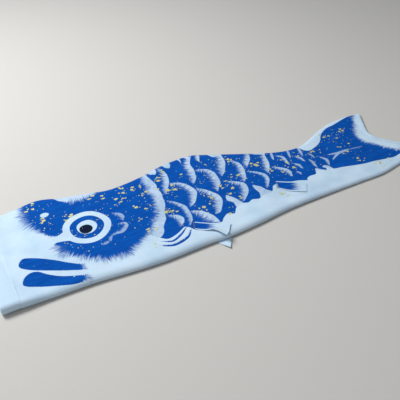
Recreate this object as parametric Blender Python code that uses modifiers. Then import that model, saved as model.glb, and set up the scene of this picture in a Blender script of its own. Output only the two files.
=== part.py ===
"""Carp streamer (koinobori): a painted cotton tube in the shape of a carp, lying flat on its far side.

Head towards -X, tail towards +X, belly towards -Y, back towards +Y, +Z up. Two cloth panels are sewn
together along the back and the belly; the mouth has a hemmed rim with a cord in it and two brass eyelets,
the tail is open behind, and four separate cloth fins are sewn on. The limp cloth is divided into a head,
a body and a tail section, which bend against each other. Lengths below are in millimetres.
"""

import math

import bmesh
import bpy
from mathutils import Vector

MM = 0.001

# Driving dimensions
LENGTH = 815.0
GAP = 0.3
SECTION_GAP = 0.5
PASSAGE = 6.3
FAR_PANEL = 3.0
NEAR_PANEL = 2.0
SEAM_WIDTH = 3.5
TAIL_HEM_WIDTH = 7.0
TAIL_HEM_EXTRA = 0.7

MOUTH_X = -LENGTH / 2
MOUTH_BOTTOM_Y = -91.0
MOUTH_TOP_Y = 106.0
BEND_X = {"neck": -157.0, "tail": 185.0}

MOUTH_HEM_LENGTH = 28.0
MOUTH_HEM_INNER_LENGTH = 26.0
HEM_CLOTH = 0.7
MOUTH_PASSAGE = 6.8
CORD_DIAMETER = 2.4
CORD_CLEARANCE = 0.15

EYELET_X = MOUTH_X + 17.0
EYELET_Y = 8.0
EYELET_HOLE_R = 3.1
EYELET_BARREL_R = 3.6
EYELET_FLANGE_R = 6.0
EYELET_FLANGE = 0.9
WASHER = 0.5

FIN_CLOTH = 1.1
FIN_LIFT = 0.4
FIN_ROOT_GAP = 0.5
THREAD_WIDTH = 1.5
THREAD_HEIGHT = 0.8
THREAD_AHEAD = 2.0
FIN_POCKET_MARGIN = 1.6
FIN_POCKET = 1.9

# Levels of the stacked layers
FAR_TOP = FAR_PANEL
SEAM_BOTTOM = FAR_TOP + GAP
NEAR_BOTTOM = FAR_TOP + PASSAGE
SEAM_TOP = NEAR_BOTTOM - GAP
NEAR_TOP = NEAR_BOTTOM + NEAR_PANEL
BEND_Z = NEAR_TOP / 2

# Radii of the flattened mouth ring, from its long middle line outwards
RING_INNER = MOUTH_PASSAGE / 2
POCKET_INNER = RING_INNER + HEM_CLOTH
CORD_RING = POCKET_INNER + CORD_CLEARANCE + CORD_DIAMETER / 2
POCKET_OUTER = CORD_RING + CORD_DIAMETER / 2 + CORD_CLEARANCE
RING_OUTER = POCKET_OUTER + HEM_CLOTH

# Outlines, seen from above, as smooth lines through these points
BACK_EDGE = [
    (MOUTH_X, MOUTH_TOP_Y), (-378, 112), (-348, 118.5), (-322, 126), (-295, 130), (-275, 125), (-256, 117),
    (-206, 105), (-172, 98), (-118, 104), (-66, 117), (-12, 120), (15, 111), (66, 85), (116, 60), (155, 45),
    (186, 41.5), (210, 46), (265, 70), (307, 83), (350, 86), (384, 83),
]
BELLY_EDGE = [
    (MOUTH_X, MOUTH_BOTTOM_Y), (-340, -94), (-276, -97), (-226, -103), (-172, -108), (-95, -108), (-57, -110),
    (0, -107), (67, -101), (155, -101), (227, -102.5), (272, -103.5), (323, -95), (365, -86), (LENGTH / 2, -75),
]
TAIL_EDGE = [(384, 83), (364, 49), (345, 15), (343, -4), (352, -20), (372, -45), (LENGTH / 2, -75)]

# A fin's root, from its upper to its lower end, and the rest of its outline from there round to the upper end
PECTORAL_ROOT = [(-93, -58), (-101, -74)]
PECTORAL_NEAR = [(-88, -86), (-77, -94), (-68, -114), (-59, -106), (-46, -91), (-70, -75)]
PECTORAL_FAR = [(-86, -98), (-71, -130), (-57, -112), (-46, -92), (-70, -76)]
PELVIC_ROOT = [(85, -33), (77, -53)]
PELVIC = [(91, -69), (112, -84), (126, -66), (118, -55), (101, -44)]

WHITE_COTTON = (0.78, 0.84, 0.90, 1)
BLUE_COTTON = (0.03, 0.16, 0.50, 1)
MATERIALS = {
    "painted_cotton": (BLUE_COTTON, 0.85, 0),
    "seam_cotton": (WHITE_COTTON, 0.9, 0),
    "fin_cotton": ((0.55, 0.68, 0.86, 1), 0.9, 0),
    "sewing_thread": ((0.10, 0.14, 0.25, 1), 0.7, 0),
    "rim_cord": ((0.72, 0.70, 0.64, 1), 0.9, 0),
    "eyelet_brass": ((0.72, 0.53, 0.22, 1), 0.3, 1),
}


def clear_scene():
    for obj in list(bpy.data.objects):
        bpy.data.objects.remove(obj, do_unlink=True)


def new_collection(name):
    collection = bpy.data.collections.new(name)
    bpy.context.scene.collection.children.link(collection)
    return collection


def make_material(name):
    colour, roughness, metallic = MATERIALS[name]
    material = bpy.data.materials.new(name)
    material.use_nodes = True
    shader = material.node_tree.nodes["Principled BSDF"]
    shader.inputs["Base Color"].default_value = colour
    shader.inputs["Roughness"].default_value = roughness
    shader.inputs["Metallic"].default_value = metallic
    return material


def smooth_line(points, steps):
    """A Catmull-Rom line through the points, with this many steps between neighbours."""
    ends = [2 * Vector(points[0]) - Vector(points[1]), 2 * Vector(points[-1]) - Vector(points[-2])]
    knots = [ends[0], *map(Vector, points), ends[1]]
    line = []
    for a, b, c, d in zip(knots, knots[1:], knots[2:], knots[3:]):
        for step in range(steps):
            t = step / steps
            line.append(0.5 * (2 * b + (c - a) * t + (2 * a - 5 * b + 4 * c - d) * t**2 + (3 * b - a - 3 * c + d) * t**3))
    return line + [knots[-2]]


def beside(line, distance):
    """The line moved sideways, to its left when distance is positive."""
    moved = []
    for i, point in enumerate(line):
        along = (line[min(i + 1, len(line) - 1)] - line[max(i - 1, 0)]).normalized()
        moved.append(point + distance * Vector((-along.y, along.x)))
    return moved


def grown(points, margin):
    """A closed outline pushed outwards by the margin, with mitred corners."""
    count = len(points)
    area = sum(points[i - 1].cross(points[i]) for i in range(count))
    side = 1 if area > 0 else -1
    pushed = []
    for i, point in enumerate(points):
        before = (point - points[i - 1]).normalized()
        after = (points[(i + 1) % count] - point).normalized()
        out = side * (Vector((before.y, -before.x)) + Vector((after.y, -after.x)))
        pushed.append(point + out * margin * 2 / max(out.length_squared, 1.0))
    return pushed


def add_object(name, mesh, collection, material=None):
    obj = bpy.data.objects.new(name, mesh)
    collection.objects.link(obj)
    if material:
        mesh.materials.append(material)
    return obj


def plate(name, outline, bottom, top, collection, material=None):
    """A flat plate with this outline: a filled 2D curve, extruded, then turned into a mesh with welded caps."""
    curve = bpy.data.curves.new(name, "CURVE")
    curve.dimensions = "2D"
    curve.fill_mode = "BOTH"
    curve.extrude = (top - bottom) / 2 * MM
    spline = curve.splines.new("POLY")
    spline.points.add(len(outline) - 1)
    for knot, point in zip(spline.points, outline):
        knot.co = (point.x * MM, point.y * MM, 0, 1)
    spline.use_cyclic_u = True
    drawn = bpy.data.objects.new(name, curve)
    collection.objects.link(drawn)
    drawn.location.z = (top + bottom) / 2 * MM
    bpy.context.view_layer.update()
    mesh = bpy.data.meshes.new_from_object(drawn.evaluated_get(bpy.context.evaluated_depsgraph_get()))
    place = drawn.matrix_world.copy()
    bpy.data.objects.remove(drawn)
    bpy.data.curves.remove(curve)
    welded = bmesh.new()
    welded.from_mesh(mesh)
    bmesh.ops.remove_doubles(welded, verts=welded.verts, dist=1e-6)
    bmesh.ops.recalc_face_normals(welded, faces=welded.faces)
    welded.to_mesh(mesh)
    welded.free()
    obj = add_object(name, mesh, collection, material)
    obj.matrix_world = place
    return obj


def prism(name, profile, collection):
    """A cutter with this outline in the X-Z plane, right across the fish."""
    half = LENGTH / 2
    mesh = bpy.data.meshes.new(name)
    shape = bmesh.new()
    face = shape.faces.new([shape.verts.new((x * MM, -half * MM, z * MM)) for x, z in profile])
    sides = bmesh.ops.extrude_face_region(shape, geom=[face])["geom"]
    moved = [part for part in sides if isinstance(part, bmesh.types.BMVert)]
    bmesh.ops.translate(shape, verts=moved, vec=(0, 2 * half * MM, 0))
    bmesh.ops.recalc_face_normals(shape, faces=shape.faces)
    shape.to_mesh(mesh)
    shape.free()
    return as_cutter(add_object(name, mesh, collection))


def as_cutter(obj):
    obj.hide_render = True
    obj.display_type = "WIRE"
    return obj


def cut(obj, cutter, operation="DIFFERENCE"):
    modifier = obj.modifiers.new(cutter.name, "BOOLEAN")
    modifier.operation = operation
    modifier.solver = "EXACT"
    modifier.object = cutter


def give_origin(obj, origin):
    """The object's origin goes to this point, and its shape stays in place."""
    offset = Vector(origin) - obj.location
    obj.data.transform(obj.matrix_world.inverted().to_3x3().to_4x4())
    for vertex in obj.data.vertices:
        vertex.co -= offset
    obj.location = origin


def section_profile(front, rear):
    """Seen from the belly: a section's side ends in points on the bend lines, so that its neighbour can bend
    a quarter turn up or down without meeting it."""
    reach = NEAR_TOP
    profile = []
    if front is None:
        start = MOUTH_X + MOUTH_HEM_LENGTH + GAP
        profile += [(start, BEND_Z + reach), (start, BEND_Z - reach)]
    else:
        tip = front + SECTION_GAP
        profile += [(tip + reach, BEND_Z + reach), (tip, BEND_Z), (tip + reach, BEND_Z - reach)]
    if rear is None:
        profile += [(LENGTH, BEND_Z - reach), (LENGTH, BEND_Z + reach)]
    else:
        tip = rear - SECTION_GAP
        profile += [(tip - reach, BEND_Z - reach), (tip, BEND_Z), (tip - reach, BEND_Z + reach)]
    return profile


def make_sections(parts, cutters, materials):
    """Both panels and both seams, each in its head, body and tail section."""
    back = smooth_line(BACK_EDGE, 3)
    belly = smooth_line(BELLY_EDGE, 3)
    tail = smooth_line(TAIL_EDGE, 3)
    whole = belly[:-1] + tail[::-1][:-1] + back[::-1]
    back_strip = back + beside(back, -SEAM_WIDTH)[::-1]
    belly_strip = belly + beside(belly, SEAM_WIDTH)[::-1]
    layers = {
        "near_panel": (whole, NEAR_BOTTOM, NEAR_TOP, "painted_cotton"),
        "far_panel": (whole, 0, FAR_TOP, "painted_cotton"),
        "back_seam": (back_strip, SEAM_BOTTOM, SEAM_TOP, "seam_cotton"),
        "belly_seam": (belly_strip, SEAM_BOTTOM, SEAM_TOP, "seam_cotton"),
    }
    bends = {"head": (None, BEND_X["neck"]), "body": (BEND_X["neck"], BEND_X["tail"]), "tail": (BEND_X["tail"], None)}
    before_tail_hem = as_cutter(plate("before_tail_hem", ahead_of(tail, TAIL_HEM_WIDTH + GAP), -5, 20, cutters))
    made = {}
    for section, (front, rear) in bends.items():
        block = prism(f"{section}_block", section_profile(front, rear), cutters)
        for layer, (outline, bottom, top, material) in layers.items():
            piece = plate(f"{layer}_{section}", outline, bottom, top, parts, materials[material])
            cut(piece, block, "INTERSECT")
            if section == "tail":
                cut(piece, before_tail_hem, "INTERSECT")
            if front is not None:
                give_origin(piece, (front * MM, 0, BEND_Z * MM))
            made[piece.name] = piece
    return made, whole, tail


def ahead_of(tail, distance):
    """Everything towards the head from the tail's open edge moved forwards by this distance."""
    edge = [point - Vector((distance, 0)) for point in tail]
    first, last = edge[0], edge[-1]
    ends = [Vector((last.x + 30, last.y - 40)), Vector((-LENGTH, last.y - 90))]
    return edge + ends + [Vector((-LENGTH, first.y + 90)), Vector((first.x + 30, first.y + 40))]


def make_tail_hems(parts, cutters, materials, whole, tail):
    """The turned-over edge of each panel along the open tail: a strip a little thicker than the panel."""
    front = as_cutter(plate("tail_hem_front", ahead_of(tail, TAIL_HEM_WIDTH), -5, 20, cutters))
    levels = {"near_tail_hem": (NEAR_BOTTOM, NEAR_TOP + TAIL_HEM_EXTRA), "far_tail_hem": (0, FAR_TOP + TAIL_HEM_EXTRA)}
    for name, (bottom, top) in levels.items():
        hem = plate(name, whole, bottom, top, parts, materials["seam_cotton"])
        cut(hem, front)
        give_origin(hem, (BEND_X["tail"] * MM, 0, BEND_Z * MM))


def ring_point(angle, radius):
    """A point of the flattened mouth ring: half rounds at the back and the belly, straight runs between."""
    end = RING_OUTER
    centre_y = MOUTH_TOP_Y - end if math.cos(angle) > 0 else MOUTH_BOTTOM_Y + end
    return centre_y + radius * math.cos(angle), RING_OUTER + radius * math.sin(angle)


def ring_angles(per_half):
    half = [(-0.5 + (step + 0.01) / (per_half + 0.02)) * math.pi for step in range(per_half + 1)]
    return half + [angle + math.pi for angle in half]


def make_mouth_hem(parts, cutters, materials):
    """The rim's casing: the cloth is turned in over the cord and back, open at its sewn rear edge."""
    rear, inner_rear = MOUTH_HEM_LENGTH, MOUTH_HEM_INNER_LENGTH
    profile = [
        (0, RING_INNER), (0, RING_OUTER), (rear, RING_OUTER), (rear, POCKET_OUTER), (HEM_CLOTH, POCKET_OUTER),
        (HEM_CLOTH, POCKET_INNER), (inner_rear, POCKET_INNER), (inner_rear, RING_INNER),
    ]
    mesh = bpy.data.meshes.new("mouth_hem")
    shape = bmesh.new()
    rings = []
    for angle in ring_angles(8):
        rings.append([])
        for x, radius in profile:
            y, z = ring_point(angle, radius)
            rings[-1].append(shape.verts.new(((MOUTH_X + x) * MM, y * MM, z * MM)))
    for near, far in zip(rings, rings[1:] + rings[:1]):
        for i in range(len(profile)):
            j = (i + 1) % len(profile)
            shape.faces.new((near[i], near[j], far[j], far[i]))
    bmesh.ops.recalc_face_normals(shape, faces=shape.faces)
    shape.to_mesh(mesh)
    shape.free()
    hem = add_object("mouth_hem", mesh, parts, materials["seam_cotton"])
    holes = [
        ("flange_hole_near", EYELET_FLANGE_R + GAP, RING_OUTER + POCKET_OUTER - 1, 2 * RING_OUTER + 1),
        ("flange_hole_far", EYELET_FLANGE_R + GAP, -1, HEM_CLOTH + 1),
        ("barrel_hole", EYELET_BARREL_R + GAP, 1, 2 * RING_OUTER - 1),
    ]
    for name, radius, bottom, top in holes:
        bpy.ops.mesh.primitive_cylinder_add(
            vertices=32, radius=radius * MM, depth=(top - bottom) * MM,
            location=(EYELET_X * MM, EYELET_Y * MM, (top + bottom) / 2 * MM),
        )
        hole = bpy.context.object
        hole.name = name
        for collection in list(hole.users_collection):
            collection.objects.unlink(hole)
        cutters.objects.link(hole)
        cut(hem, as_cutter(hole))


def make_mouth_cord(parts, materials):
    curve = bpy.data.curves.new("mouth_cord", "CURVE")
    curve.dimensions = "3D"
    curve.bevel_depth = CORD_DIAMETER / 2 * MM
    curve.bevel_resolution = 2
    angles = ring_angles(8)
    spline = curve.splines.new("POLY")
    spline.points.add(len(angles) - 1)
    cord_x = MOUTH_X + HEM_CLOTH + CORD_CLEARANCE + CORD_DIAMETER / 2
    for knot, angle in zip(spline.points, angles):
        y, z = ring_point(angle, CORD_RING)
        knot.co = (cord_x * MM, y * MM, z * MM, 1)
    spline.use_cyclic_u = True
    add_object("mouth_cord", curve, parts, materials["rim_cord"])


def turned(name, profile, parts, material, flip):
    """A round piece from half its section, turned about the eyelets' axis. flip turns it over for the far side."""
    mesh = bpy.data.meshes.new(name)
    count = len(profile)
    corners = [(radius * MM, 0, height * MM) for radius, height in profile]
    mesh.from_pydata(corners, [(i, (i + 1) % count) for i in range(count)], [])
    obj = add_object(name, mesh, parts, material)
    obj.location = (EYELET_X * MM, EYELET_Y * MM, RING_OUTER * MM)
    obj.rotation_euler.x = math.pi if flip else 0
    screw = obj.modifiers.new("Turn", "SCREW")
    screw.axis = "Z"
    screw.steps = screw.render_steps = 32
    screw.use_merge_vertices = True
    screw.merge_threshold = 0.00001
    screw.use_smooth_shade = True
    return obj


def make_eyelets(parts, materials):
    """A two-part brass eyelet through the hem on each side: a flanged barrel and the washer behind it.
    Heights are counted from the middle of the mouth ring."""
    flange_top = RING_OUTER
    flange_bottom = RING_OUTER - EYELET_FLANGE
    washer_top = RING_INNER - GAP
    washer_bottom = washer_top - WASHER
    barrel_bottom = washer_bottom - 0.1
    eyelet = [
        (EYELET_HOLE_R, flange_top - 0.2), (EYELET_HOLE_R + 0.5, flange_top), (EYELET_FLANGE_R - 0.6, flange_top),
        (EYELET_FLANGE_R, flange_top - 0.5), (EYELET_FLANGE_R, flange_bottom), (EYELET_BARREL_R, flange_bottom),
        (EYELET_BARREL_R, barrel_bottom), (EYELET_HOLE_R, barrel_bottom),
    ]
    washer_inner = EYELET_BARREL_R + GAP / 2
    washer = [
        (washer_inner, washer_top), (EYELET_FLANGE_R, washer_top), (EYELET_FLANGE_R, washer_bottom + 0.2),
        (EYELET_FLANGE_R - 0.3, washer_bottom), (washer_inner, washer_bottom),
    ]
    for side, flip in (("near", False), ("far", True)):
        turned(f"{side}_eyelet", eyelet, parts, materials["eyelet_brass"], flip)
        turned(f"{side}_eyelet_washer", washer, parts, materials["eyelet_brass"], flip)


def make_fin(name, root, rest, bottom, parts, materials):
    """A flat cloth fin and the row of root stitches that holds it. The fin's origin is on its root line."""
    upper, lower = map(Vector, root)
    along = (lower - upper).normalized()
    behind = Vector((-along.y, along.x))
    middle = (upper + lower) / 2
    outline = [upper + FIN_ROOT_GAP * behind, lower + FIN_ROOT_GAP * behind, *map(Vector, rest)]
    fin = plate(name, outline, bottom, bottom + FIN_CLOTH, parts, materials["fin_cotton"])
    give_origin(fin, (middle.x * MM, middle.y * MM, (bottom + FIN_CLOTH / 2) * MM))
    ahead = THREAD_AHEAD - THREAD_WIDTH / 2
    far_ahead = THREAD_AHEAD + THREAD_WIDTH / 2
    strip = [upper - ahead * behind, lower - ahead * behind, lower - far_ahead * behind, upper - far_ahead * behind]
    plate(f"{name}_stitches", strip, bottom, bottom + THREAD_HEIGHT, parts, materials["sewing_thread"])
    return strip[3:] + outline[:1] + outline[-1:1:-1] + outline[1:2] + strip[2:3]


def make_fins(parts, cutters, materials, panels):
    """Near fins lie on the near panel. Far fins lie in shallow pockets under the far panel."""
    near_bottom = NEAR_TOP + GAP
    make_fin("near_pectoral_fin", PECTORAL_ROOT, PECTORAL_NEAR, near_bottom, parts, materials)
    make_fin("near_pelvic_fin", PELVIC_ROOT, PELVIC, near_bottom, parts, materials)
    for name, root, rest in (("pectoral", PECTORAL_ROOT, PECTORAL_FAR), ("pelvic", PELVIC_ROOT, PELVIC)):
        outline = make_fin(f"far_{name}_fin", root, rest, FIN_LIFT, parts, materials)
        pocket = plate(f"{name}_pocket", grown(outline, FIN_POCKET_MARGIN), -5, FIN_POCKET, cutters)
        cut(panels["far_panel_body"], as_cutter(pocket))


def main():
    clear_scene()
    parts = new_collection("carp_streamer")
    cutters = new_collection("cutters")
    materials = {name: make_material(name) for name in MATERIALS}
    panels, whole, tail = make_sections(parts, cutters, materials)
    make_tail_hems(parts, cutters, materials, whole, tail)
    make_mouth_hem(parts, cutters, materials)
    make_mouth_cord(parts, materials)
    make_eyelets(parts, materials)
    make_fins(parts, cutters, materials, panels)


main()
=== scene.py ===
"""Looks of the carp streamer: painted cotton, hems, fins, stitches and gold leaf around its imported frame.

Plan lengths are in millimetres in the frame's own axes: head towards -X, back towards +Y, and the near
side of the flattened tube faces +Z. They turn into metres where a mesh is made.
"""

import math

import bpy
import numpy as np
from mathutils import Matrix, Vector


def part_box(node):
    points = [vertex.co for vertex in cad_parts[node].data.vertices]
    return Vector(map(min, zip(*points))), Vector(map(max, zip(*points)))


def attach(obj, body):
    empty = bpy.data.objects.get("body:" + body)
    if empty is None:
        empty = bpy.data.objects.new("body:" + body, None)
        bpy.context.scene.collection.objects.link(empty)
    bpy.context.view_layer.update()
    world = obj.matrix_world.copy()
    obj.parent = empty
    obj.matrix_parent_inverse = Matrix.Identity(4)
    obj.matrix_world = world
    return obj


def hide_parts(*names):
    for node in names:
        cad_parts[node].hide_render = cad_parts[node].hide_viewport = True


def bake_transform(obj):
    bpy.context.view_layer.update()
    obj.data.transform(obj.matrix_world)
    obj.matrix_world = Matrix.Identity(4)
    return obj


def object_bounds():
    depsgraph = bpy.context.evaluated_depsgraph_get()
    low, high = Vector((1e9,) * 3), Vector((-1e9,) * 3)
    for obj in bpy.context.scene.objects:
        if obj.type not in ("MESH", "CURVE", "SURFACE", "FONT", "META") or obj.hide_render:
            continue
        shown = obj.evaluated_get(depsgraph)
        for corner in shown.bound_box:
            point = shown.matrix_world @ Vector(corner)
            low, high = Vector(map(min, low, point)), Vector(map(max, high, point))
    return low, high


MM = 0.001
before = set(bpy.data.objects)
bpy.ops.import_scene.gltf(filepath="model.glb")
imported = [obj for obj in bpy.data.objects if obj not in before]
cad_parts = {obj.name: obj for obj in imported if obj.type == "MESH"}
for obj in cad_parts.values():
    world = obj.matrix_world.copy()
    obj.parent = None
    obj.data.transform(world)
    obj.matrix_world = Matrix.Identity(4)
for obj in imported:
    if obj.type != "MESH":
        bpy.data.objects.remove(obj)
CAD_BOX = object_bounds()

# Outlines of the flattened tube, as in the frame
MOUTH_X = round(CAD_BOX[0].x / MM, 1)
TAIL_X = round(CAD_BOX[1].x / MM, 1)
FRAME_BACK_EDGE = [
    (MOUTH_X, 106), (-378, 112), (-348, 118.5), (-322, 126), (-295, 130), (-275, 125), (-256, 117),
    (-206, 105), (-172, 98), (-118, 104), (-66, 117), (-12, 120), (15, 111), (66, 85), (116, 60), (155, 45),
    (186, 41.5), (210, 46), (265, 70), (307, 83), (350, 86), (384, 83),
]
# The slack cloth hangs a little inside the frame along the back, from the mouth to the middle
BACK_SLACK = 2.5
SLACK_END_X = -12.0


def back_slack(x):
    share = min(max((x - MOUTH_X) / (SLACK_END_X - MOUTH_X), 0.0), 1.0)
    return BACK_SLACK * math.sqrt(math.sin(math.pi * share)) if 0 < share < 1 else 0.0


BACK_EDGE = [(x, y - back_slack(x)) for x, y in FRAME_BACK_EDGE]
BELLY_EDGE = [
    (MOUTH_X, -91), (-340, -94), (-276, -97), (-226, -103), (-172, -108), (-95, -108), (-57, -110),
    (0, -107), (67, -101), (155, -101), (227, -102.5), (272, -103.5), (323, -95), (365, -86), (TAIL_X, -75),
]
TAIL_EDGE = [(384, 83), (364, 49), (345, 15), (343, -4), (352, -20), (372, -45), (TAIL_X, -75)]
PECTORAL_ROOT = [(-93, -58), (-101, -74)]
PELVIC_ROOT = [(85, -33), (77, -53)]

# Cloth
CLOTH = 0.45
FLOOR_GAP = 0.35
MOUTH_HEM_LENGTH = 28.0
CLOTH_START_X = MOUTH_X + MOUTH_HEM_LENGTH - 1.0
JOIN_X = 14.0
FOLD_ROWS = 9
TAIL_SPREAD_X = 215.0
SECTIONS = {"front": ("head", "body"), "rear": ("body", "tail")}

# Height of the near side above the table, by station along the fish
STATIONS = (-408, -380, -345, -250, -150, 0, 100, 200, 300, 408)
NEAR_LEVEL = (14.6, 13.8, 11.6, 10.6, 10.2, 9.6, 8.6, 7.0, 5.6, 4.6)


def smooth_line(points, steps=6, closed=False):
    """A Catmull-Rom line through the points. Extra columns, such as a softness, are carried along."""
    points = np.array(points, float)
    if closed:
        knots = np.vstack([points[-1:], points, points[:2]])
    else:
        knots = np.vstack([2 * points[:1] - points[1:2], points, 2 * points[-1:] - points[-2:-1]])
    t = (np.arange(steps) / steps)[None, :, None]
    a, b, c, d = (knots[i : len(knots) - 3 + i, None, :] for i in range(4))
    line = 0.5 * (2 * b + (c - a) * t + (2 * a - 5 * b + 4 * c - d) * t**2 + (3 * b - a - 3 * c + d) * t**3)
    return np.vstack([line.reshape(-1, points.shape[1]), knots[-2:-1]])


BACK_LINE = smooth_line(BACK_EDGE, 3)
BELLY_LINE = smooth_line(BELLY_EDGE, 3)
TAIL_LINE = smooth_line(TAIL_EDGE, 3)[::-1]


def back_y(x):
    return np.interp(x, BACK_LINE[:, 0], BACK_LINE[:, 1])


def belly_y(x):
    return np.interp(x, BELLY_LINE[:, 0], BELLY_LINE[:, 1])


def eased(value, low, high):
    t = np.clip((value - low) / (high - low), 0, 1)
    return t * t * (3 - 2 * t)


def station(x, values):
    return np.interp(x, STATIONS, values)


def mouth_share(x):
    """1 at the mouth, where the hem's cord holds the edge half round, and 0 from a little behind the hem."""
    return 1 - eased(x, MOUTH_X + 24, MOUTH_X + 85)


def fold_shape(x, side):
    """The fold's seam height and its width in plan, at the belly or the back."""
    top = station(x, NEAR_LEVEL)
    round_end = mouth_share(x)
    seam, spread = (0.36, 1.75) if side == "belly" else (0.24, 1.9)
    height = seam * top
    height = height + (top / 2 - height) * round_end
    width = spread * (top - height)
    return height, width + (top / 2 - width) * round_end


def quarter_round(distance, width):
    share = np.clip(distance / width, 0, 1)
    return np.sqrt(1 - (1 - share) ** 2)


def ridge(x, y, start, end, width, height):
    """A soft straight crease between two points."""
    start, end = np.array(start, float), np.array(end, float)
    step = end - start
    t = np.clip(((x - start[0]) * step[0] + (y - start[1]) * step[1]) / (step @ step), 0, 1)
    distance = np.hypot(x - start[0] - t * step[0], y - start[1] - t * step[1])
    return height * np.exp(-((distance / width) ** 2))


WAVES = [
    (74, 0.35, 0.30, 0.4), (118, 1.25, 0.45, 2.1), (52, 2.30, 0.16, 4.4), (39, 0.90, 0.11, 1.2),
    (95, 2.75, 0.35, 5.5), (31, 1.80, 0.07, 3.3), (61, 1.55, 0.18, 0.9),
]
CREASES = [
    ((-370, 78), (-387, -56), 6.5, 1.1), ((-352, 66), (-362, 10), 9, -0.5), ((-330, -20),
(-300, 14), 12, 0.5),
    ((-150, -80), (-60, -92), 10, 0.5), ((-20, -70), (60, -82), 11, 0.6), ((120, -84), (190, -72), 9, 0.4),
    ((-170, 60), (-120, 88), 12, 0.5), ((200, -20), (300, 20), 12, 0.35), ((230, -40), (330, -62), 10, 0.35),
]


def small_creases():
    """Short shallow creases all over the cloth."""
    rng = np.random.default_rng(12)
    found = []
    for _ in range(46):
        x, y, turn = rng.uniform(-370, 370), rng.uniform(-95, 75), rng.uniform(0, math.pi)
        reach = rng.uniform(9, 26)
        step = np.array((math.cos(turn), math.sin(turn))) * reach
        ends = (x - step[0], y - step[1]), (x + step[0], y + step[1])
        found.append((*ends, rng.uniform(4, 8), rng.uniform(-0.3, 0.3)))
    return found


CREASES += small_creases()


def relief(x, y):
    """The slack cloth's slow waves and soft creases, in millimetres."""
    total = np.zeros_like(x)
    for length, angle, height, phase in WAVES:
        total += height * np.sin(2 * math.pi * (x * math.cos(angle) + y * math.sin(angle)) / length + phase)
    for start, end, width, height in CREASES:
        total += ridge(x, y, start, end, width, height)
    return total


def near_height(x, y):
    """The outer surface of the near side."""
    top = station(x, NEAR_LEVEL)
    belly_seam, belly_width = fold_shape(x, "belly")
    back_seam, back_width = fold_shape(x, "back")
    from_belly = np.maximum(y - belly_y(x), 0)
    from_back = np.maximum(back_y(x) - y, 0)
    belly_drop = (top - belly_seam) * (1 - quarter_round(from_belly, belly_width))
    back_drop = (top - back_seam) * (1 - quarter_round(from_back, back_width))
    calm = eased(from_belly, 0, 26) * eased(from_back, 0, 26) * (1 - 0.9 * eased(-x, 375, 392))
    return top - belly_drop - back_drop + relief(x, y) * calm


def far_height(x, y):
    """The outer surface of the far side, which lies on the table and humps over the far fins."""
    belly_seam, belly_width = fold_shape(x, "belly")
    back_seam, back_width = fold_shape(x, "back")
    shrink = 0.6 + 0.4 * mouth_share(x)
    from_belly = np.maximum(y - belly_y(x), 0)
    from_back = np.maximum(back_y(x) - y, 0)
    rise = (belly_seam - FLOOR_GAP) * (1 - quarter_round(from_belly, belly_width * shrink))
    rise += (back_seam - FLOOR_GAP) * (1 - quarter_round(from_back, back_width * shrink))
    hump = np.zeros_like(x)
    for outline in (PECTORAL_FAR, PELVIC):
        outline = np.array(outline, float)
        centre = outline.mean(0)
        reach = np.hypot(*(outline - centre).T).max()
        hump = np.maximum(hump, 1.5 * (1 - eased(np.hypot(x - centre[0], y - centre[1]), reach, reach + 16)))
    return FLOOR_GAP + np.maximum(rise, hump)


# Fins, as in the frame: the upper edge, the trailing edge and the lower edge
PECTORAL_EDGES = {
    "upper": [(-93, -58), (-70, -75), (-46, -91)],
    "trailing": [(-46, -91), (-59, -106), (-68, -114)],
    "lower": [(-101, -74), (-88, -86), (-77, -94), (-68, -114)],
}
PECTORAL_FAR_EDGES = {
    "upper": [(-93, -58), (-70, -76), (-46, -92)],
    "trailing": [(-46, -92), (-57, -112), (-71, -130)],
    "lower": [(-101, -74), (-86, -98), (-71, -130)],
}
PELVIC_EDGES = {
    "upper": [(85, -33), (101, -44), (118, -55), (126, -66)],
    "trailing": [(126, -66), (119, -75), (112, -84)],
    "lower": [(77, -53), (91, -69), (112, -84)],
}
PECTORAL_FAR = PECTORAL_FAR_EDGES["upper"] + PECTORAL_FAR_EDGES["lower"]
PELVIC = PELVIC_EDGES["upper"] + PELVIC_EDGES["lower"]

# Paint. Heights are counted from this line
PAINT_BASE_Y = 6.4
PAINT_SHIFT = (-0.6, -1.6)
PAINT_STRETCH = (0.008, 0.0125)
PAINT_SPREAD = (1.6e-5, 8e-6)


def paint_drift(x):
    """How far the hand painting has drifted from a straight layout: more and more towards the tail."""
    return [s + k * x + q * x**2 for s, k, q in zip(PAINT_SHIFT, PAINT_STRETCH, PAINT_SPREAD)]


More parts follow.
